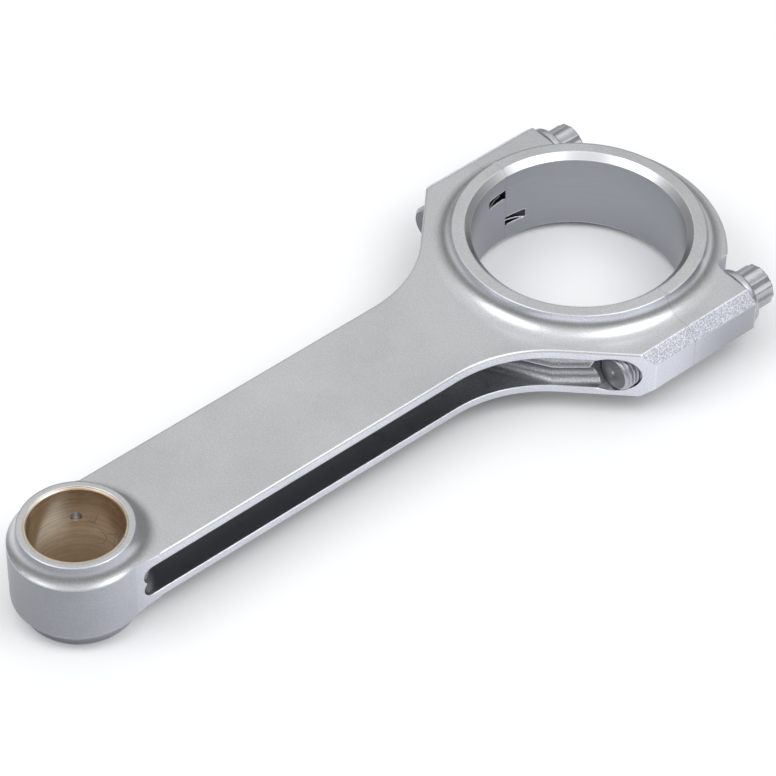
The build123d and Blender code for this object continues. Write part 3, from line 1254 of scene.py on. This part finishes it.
@dataclass
class CapBolt:
    """One cap screw: twelve-point head, flange, shank, thread and dimpled tip."""

    side: Side
    steps: int = 120
    flange_rim: float = 1.9 * MM
    flange_cone: float = 1.2 * MM
    neck_depth: float = 0.35 * MM
    shank_radius: float = 5.5 * MM
    thread_start: float = -1.0 * MM
    thread_pitch: float = 1.27 * MM
    thread_depth: float = 0.78 * MM
    thread_rows_per_turn: int = 12
    tip_chamfer: float = 0.9 * MM
    tip_dimple: float = 0.55 * MM
    head_rows: int = 26
    point_radius: float = 6.15 * MM
    grip: float = 44.45 * MM
    weld_gap: float = 0.002 * MM
    crease_angle: float = 34.0

    @property
    def node(self) -> str:
        """The CAD node that this bolt stands for."""
        return "cap_bolt_" + self.side.word

    def head_profile(self, end: float, seat: float, flange: float, point: float) -> tuple[list, list]:
        """The turned profiles that close the head, and the flange with its neck.

        Args:
            end: the X of the head's end.
            seat: the X of the flange's seating face.
            flange: the flange's radius.
            point: the radius of the head's points.

        Returns:
            The end's profile from its centre outwards, and the flange's profile.
        """
        rim = self.end_radius(point)
        dish = [
            (end + 1.25 * MM, 0.0),
            (end + 1.05 * MM, 0.25 * MM),
            (end + 0.75 * MM, self.tip_dimple),
            (end + 0.70 * MM, self.tip_dimple + 0.12 * MM),
            (end + 0.68 * MM, 2.9 * MM),
            (end + 0.55 * MM, 3.25 * MM),
            (end + 0.14 * MM, 3.65 * MM),
            (end, 3.85 * MM),
            (end, rim - 0.12 * MM),
            (end, rim),
        ]
        top = seat - self.flange_rim - self.flange_cone
        slope_x = seat - self.flange_rim
        collar = [
            (top, self.neck_radius(point)),
            (top + 0.12 * MM, self.neck_radius(point) + 0.05 * MM),
            (top + 0.25 * MM, point - 0.25 * MM),
            (top + 0.34 * MM, point),
            (slope_x - 0.25 * MM, flange - 0.72 * MM),
            (slope_x - 0.06 * MM, flange - 0.22 * MM),
            (slope_x + 0.18 * MM, flange - 0.03 * MM),
            (slope_x + 0.4 * MM, flange),
            (seat - 0.3 * MM, flange),
            (seat - 0.08 * MM, flange - 0.08 * MM),
            (seat, flange - 0.3 * MM),
            (seat, self.shank_radius + 0.3 * MM),
            (seat + 0.1 * MM, self.shank_radius),
        ]
        return dish, collar

    @staticmethod
    def end_radius(point: float) -> float:
        """The radius of the head's flat end inside its chamfer."""
        return point - 1.15 * MM

    def neck_radius(self, point: float) -> float:
        """The radius of the groove between the head's points and the flange."""
        return point * math.cos(math.pi / 6) - self.neck_depth

    def tip_profile(self, tip: float) -> list[tuple[float, float]]:
        """The profile of the bolt's tip, from its chamfer to the centre dimple.

        Args:
            tip: the X of the tip's face.

        Returns:
            The profile, outermost first.
        """
        edge = self.shank_radius - self.tip_chamfer
        return [
            (tip, edge),
            (tip, edge - 0.1 * MM),
            (tip, self.tip_dimple + 0.1 * MM),
            (tip - 0.06 * MM, self.tip_dimple),
            (tip - 0.38 * MM, 0.2 * MM),
            (tip - 0.45 * MM, 0.0),
        ]

    def build(self) -> bpy.types.Object:
        """Makes the bolt on the X axis, moves its mesh into place and joins it.

        Returns:
            The finished bolt, riding on its body.
        """
        low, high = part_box(self.node)
        axis_y = (low.y + high.y) / 2
        point, flange = self.point_radius, (high.y - low.y) / 2
        seat = high.x - self.grip
        steel = BoltSteel(axis_y, high.x, self.side.word).material()
        dish, collar = self.head_profile(low.x, seat, flange, point)
        base = seat - self.flange_rim - self.flange_cone
        head = TwelvePointHead().mesh(
            steel,
            Start=low.x,
            Length=base - low.x,
            Point_Radius=point,
            End_Radius=self.end_radius(point),
            End_X=low.x,
            Steps_Round=self.steps,
            Steps_Along=self.head_rows,
        )
        turns = (high.x - self.thread_start) / self.thread_pitch
        thread = RolledThread().mesh(
            steel,
            Start=self.thread_start,
            Length=high.x - self.thread_start,
            Pitch=self.thread_pitch,
            Crest_Radius=self.shank_radius,
            Thread_Depth=self.thread_depth,
            Tip_X=high.x,
            Tip_Radius=self.shank_radius - self.tip_chamfer,
            Steps_Round=self.steps,
            Steps_Along=round(turns * self.thread_rows_per_turn),
        )
        collar.append((self.thread_start, self.shank_radius))
        whole = bmesh.new()
        whole.from_mesh(head)
        whole.from_mesh(thread)
        for profile in (dish, collar, self.tip_profile(high.x)):
            points, faces = lathe(profile, self.steps)
            placed = [whole.verts.new(p) for p in points]
            for face in faces:
                whole.faces.new([placed[k] for k in face])
        self.close_neck(whole, base, self.neck_radius(point))
        bmesh.ops.remove_doubles(whole, verts=whole.verts, dist=self.weld_gap)
        bmesh.ops.recalc_face_normals(whole, faces=whole.faces)
        bmesh.ops.translate(whole, verts=whole.verts, vec=(0.0, axis_y, 0.0))
        mesh = bpy.data.meshes.new(self.node + "_detailed")
        whole.to_mesh(mesh)
        whole.free()
        for used in (head, thread):
            bpy.data.meshes.remove(used)
        mesh.materials.clear()
        mesh.materials.append(steel)
        mesh.polygons.foreach_set("material_index", [0] * len(mesh.polygons))
        mesh.shade_smooth()
        mesh.set_sharp_from_angle(angle=math.radians(self.crease_angle))
        bolt = linked(self.node + "_detailed", mesh)
        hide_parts(self.node)
        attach(bolt, "bolt_" + self.side.word)
        return bolt

    def close_neck(self, whole: bmesh.types.BMesh, base: float, neck: float) -> None:
        """Joins the head's wavy lower rim to the round groove under it.

        Args:
            whole: the bolt's mesh so far.
            base: the X of the head's lower rim.
            neck: the groove's radius.
        """
        level = [v for v in whole.verts if abs(v.co.x - base) < NEAR]
        rim = [v for v in level if v.co.yz.length > neck + NEAR]
        ring = [v for v in level if abs(v.co.yz.length - neck) < NEAR]

        def turn(v: bmesh.types.BMVert) -> float:
            """The vertex's angle round the bolt."""
            return round(math.atan2(v.co.z, v.co.y), 5) % round(2 * math.pi, 5)

        step = 2 * math.pi / self.steps
        outer, inner = ({round(turn(v) / step) % self.steps: v for v in loop} for loop in (rim, ring))
        for k in range(self.steps):
            n = (k + 1) % self.steps
            whole.faces.new((outer[k], outer[n], inner[n], inner[k]))


def wear(piece: bpy.types.Object, finish: bpy.types.Material) -> None:
    """Assigns a finish to all of a node's material slots.

    Args:
        piece: the node's object.
        finish: the material to wear.
    """
    if not piece.material_slots:
        piece.data.materials.append(finish)
    for slot in piece.material_slots:
        slot.link = "OBJECT"
        slot.material = finish


# ---- studio ----


@dataclass
class Lamp:
    """One soft round lamp: where it stands, its size, its power and its tint."""

    name: str
    azimuth: float
    elevation: float
    distance: float
    size: float
    power: float
    tint: tuple[float, float, float] = (1.0, 1.0, 1.0)

    def build(self, aim: Vector) -> bpy.types.Object:
        """Stands the lamp up.

        Args:
            aim: the point that it looks at.

        Returns:
            The lamp's object.
        """
        light = bpy.data.lights.new(self.name, "AREA")
        light.shape = "DISK"
        light.size = self.size
        light.energy = self.power
        light.color = self.tint
        made = linked(self.name, light)
        back = direction(self.azimuth, self.elevation)
        made.location = aim + back * self.distance
        made.rotation_euler = (-back).to_track_quat("-Z", "Y").to_euler()
        return made


def direction(azimuth: float, elevation: float) -> Vector:
    """The unit vector from the aim towards a place on the sky.

    Args:
        azimuth: degrees; nought stands on -Y and 90 on +X.
        elevation: degrees above the floor.

    Returns:
        The unit vector.
    """
    a, e = math.radians(azimuth), math.radians(elevation)
    return Vector((math.sin(a) * math.cos(e), -math.cos(a) * math.cos(e), math.sin(e)))


@dataclass
class Studio:
    """Floor, soft light and camera."""

    floor_z: float
    floor_half: float = 3.0
    floor_steps: int = 12
    aim: Vector = field(default_factory=lambda: Vector((71.302, 3.207, 0.0)) * MM)
    camera_azimuth: float = 138.895
    camera_elevation: float = 44.845
    camera_distance: float = 1.0939
    camera_roll: float = 0.558
    lens: float = 190.79
    horizon: float = 0.25
    zenith: float = 1.0
    lamps: tuple[Lamp, ...] = (
        Lamp("left box", 72.0, 52.0, 1.0, 0.6, 2.3, (0.97, 0.98, 1.0)),
        Lamp("right box", 200.0, 56.0, 1.05, 0.75, 3.2, (0.97, 0.98, 1.0)),
    )

    def build(self) -> None:
        """Sets up the floor, the light and the camera."""
        self.build_floor()
        self.build_sky()
        for lamp in self.lamps:
            lamp.build(self.aim)
            LOG.info("lamp %s", lamp.name)
        self.build_camera()
        bpy.context.scene.view_settings.view_transform = "Standard"

    def build_floor(self) -> bpy.types.Object:
        """Lays a wide board just under the object.

        Returns:
            The board.
        """
        half, steps = self.floor_half, self.floor_steps
        marks = [-half + 2 * half * k / steps for k in range(steps + 1)]
        points = [(x, y, self.floor_z) for y in marks for x in marks]
        corner = [j * (steps + 1) + i for j in range(steps) for i in range(steps)]
        faces = [(k, k + 1, k + steps + 2, k + steps + 1) for k in corner]
        board = mesh_object("pale_floor", points, faces)
        board.data.materials.append(PaleFloor().material())
        board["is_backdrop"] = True
        return board

    def build_sky(self) -> None:
        """Gives the room a pale light that falls off towards the horizon."""
        world = bpy.data.worlds.new("studio")
        world.use_nodes = True
        shine = world.node_tree.nodes["Background"]
        shine.inputs["Color"].default_value = (0.98, 0.99, 1.0, 1.0)
        g = Graph(world.node_tree)
        up = g.split(g.node("ShaderNodeTexCoord").outputs["Generated"])[2]
        g.feed(shine.inputs["Strength"], g.ramp(up, 0.25, 0.8, self.horizon, self.zenith))
        bpy.context.scene.world = world

    def build_camera(self) -> bpy.types.Object:
        """Stands the camera at its viewing angle.

        Returns:
            The camera's object.
        """
        data = bpy.data.cameras.new("camera")
        data.sensor_width = 36.0
        data.lens = self.lens
        data.clip_start, data.clip_end = 0.05, 20.0
        made = linked("camera", data)
        back = direction(self.camera_azimuth, self.camera_elevation)
        right = Vector((0.0, 0.0, 1.0)).cross(back).normalized()
        up = back.cross(right)
        turn = math.radians(self.camera_roll)
        across = right * math.cos(turn) + up * math.sin(turn)
        above = back.cross(across)
        rows = zip(across, above, back)
        frame = Matrix([list(row) for row in rows]).to_4x4()
        frame.translation = self.aim + back * self.camera_distance
        made.matrix_world = frame
        bpy.context.scene.camera = made
        return made


def corners(box: tuple[Vector, Vector]) -> list[list[float]]:
    """A box's two corners as plain lists."""
    return [list(corner) for corner in box]


def main() -> None:
    """Loads the frame, dresses it, models the bolts and sets up the studio."""
    logging.basicConfig(level=logging.INFO, format="%(name)s: %(message)s")
    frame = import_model()
    cad_box = corners(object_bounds())
    nodes, record = frame["nodes"], frame["record"]
    RodForging(record).dress(nodes)
    LOG.info("rod_body and rod_cap wear peened steel")
    PinBushing().dress(nodes)
    LOG.info("pin_bushing wears honed bronze")
    AlignmentSleeves().dress(nodes)
    LOG.info("alignment sleeves wear ground steel")
    for side in Side:
        bolt = CapBolt(side).build()
        LOG.info("%s has %d faces", bolt.name, len(bolt.data.polygons))
    Studio(floor_z=cad_box[0][2]).build()


if __name__ == "__main__":
    main()
